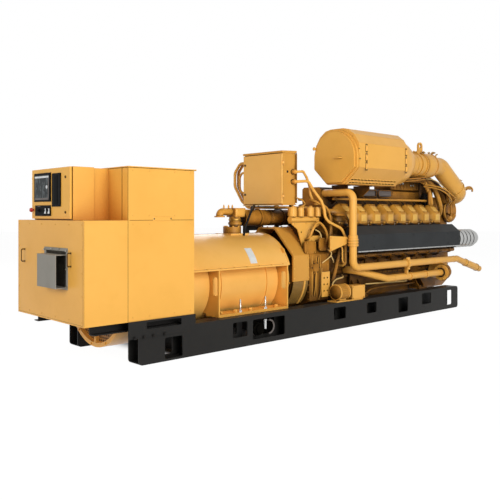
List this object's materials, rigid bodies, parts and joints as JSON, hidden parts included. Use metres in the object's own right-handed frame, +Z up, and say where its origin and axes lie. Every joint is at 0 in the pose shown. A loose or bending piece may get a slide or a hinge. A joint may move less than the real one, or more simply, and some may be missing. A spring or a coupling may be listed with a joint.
{
  "type": "natural gas generator set",
  "caption": "Skid-mounted gas engine generator set: vee engine, alternator, terminal and control cabinets, air cleaner, ducts and water pipes on one steel skid.",
  "frame": {"origin": "centre of the skid's footprint, on the floor", "axes": "+X along the shaft from the alternator and cabinets to the engine's front end, +Y to the far side of the machine, +Z up"},
  "size_m": [6.884, 1.377, 2.33],
  "materials": {
    "yellow_paint": "satin",
    "skid_black": "satin",
    "cover_black": "matte",
    "hood_grey": "satin",
    "ribbed_silver": "satin",
    "panel_black": "matte",
    "stop_red": "gloss",
    "bare_steel": "satin"
  },
  "bodies": {
    "root": {"skid_rail_near": "skid_black", "skid_rail_far": "skid_black", "skid_crossmembers": "skid_black", "cabinet_risers": "skid_black", "cabinet_beams": "skid_black", "low_cabinet": "yellow_paint", "tall_cabinet": "yellow_paint", "tall_cabinet_lid": "yellow_paint", "cable_hood": "hood_grey", "cabinet_handles": "yellow_paint", "control_box": "yellow_paint", "alternator_body": "yellow_paint", "alternator_feet": "yellow_paint", "coupling_guard": "yellow_paint", "flywheel_housing": "yellow_paint", "engine_block": "yellow_paint", "oil_pan": "yellow_paint", "engine_feet": "yellow_paint", "front_housing": "yellow_paint", "crank_damper": "skid_black", "cylinder_heads": "yellow_paint", "valve_covers_near": "yellow_paint", "valve_covers_far": "yellow_paint", "side_cover_near": "cover_black", "side_cover_far": "cover_black", "cover_rails": "ribbed_silver", "ribbed_duct_near": "ribbed_silver", "ribbed_duct_far": "ribbed_silver", "intake_plenum": "yellow_paint", "air_cleaner": "yellow_paint", "cleaner_supports": "yellow_paint", "intake_duct": "yellow_paint", "duct_clamps": "bare_steel", "turbocharger": "yellow_paint", "water_pipe_upper": "yellow_paint", "water_pipe_lower": "yellow_paint", "water_pump": "yellow_paint", "pipe_bracket": "yellow_paint", "junction_box": "yellow_paint", "junction_box_stand": "skid_black", "gas_valves": "yellow_paint", "gas_valve_bracket": "yellow_paint", "fuel_inlet": "yellow_paint", "fuel_pipe": "yellow_paint", "prelube_pump": "yellow_paint", "lifting_eyes": "yellow_paint", "housing_plates": "yellow_paint", "gas_manifold": "yellow_paint", "ignition_boxes": "panel_black", "turbo_pipes": "yellow_paint", "junction_hoses": "yellow_paint", "engine_hoses": "yellow_paint"},
    "control_door": {"control_door": "yellow_paint", "controller_display": "panel_black", "alarm_panel": "panel_black", "switch_plate": "panel_black"},
    "selector_knob": {"selector_knob": "panel_black"},
    "stop_button": {"emergency_stop": "stop_red"},
    "junction_door": {"junction_box_door": "yellow_paint"}
  },
  "joints": [
    {"name": "control_door_hinge", "type": "hinge", "parent": "root", "child": "control_door", "pos_m": [-3.107, 0.438, 1.49], "axis": [0, 0, -1], "range_deg": [0, 110]},
    {"name": "selector_turn", "type": "hinge", "parent": "control_door", "child": "selector_knob", "pos_m": [-3.132, 0.269, 1.347], "axis": [1, 0, 0], "range_deg": [-45, 45]},
    {"name": "stop_button_press", "type": "slide", "parent": "control_door", "child": "stop_button", "axis": [1, 0, 0], "range_m": [0, 0.005]},
    {"name": "junction_door_hinge", "type": "hinge", "parent": "root", "child": "junction_door", "pos_m": [-0.552, -0.326, 1.71], "axis": [0, 0, 1], "range_deg": [0, 110]}
  ]
}
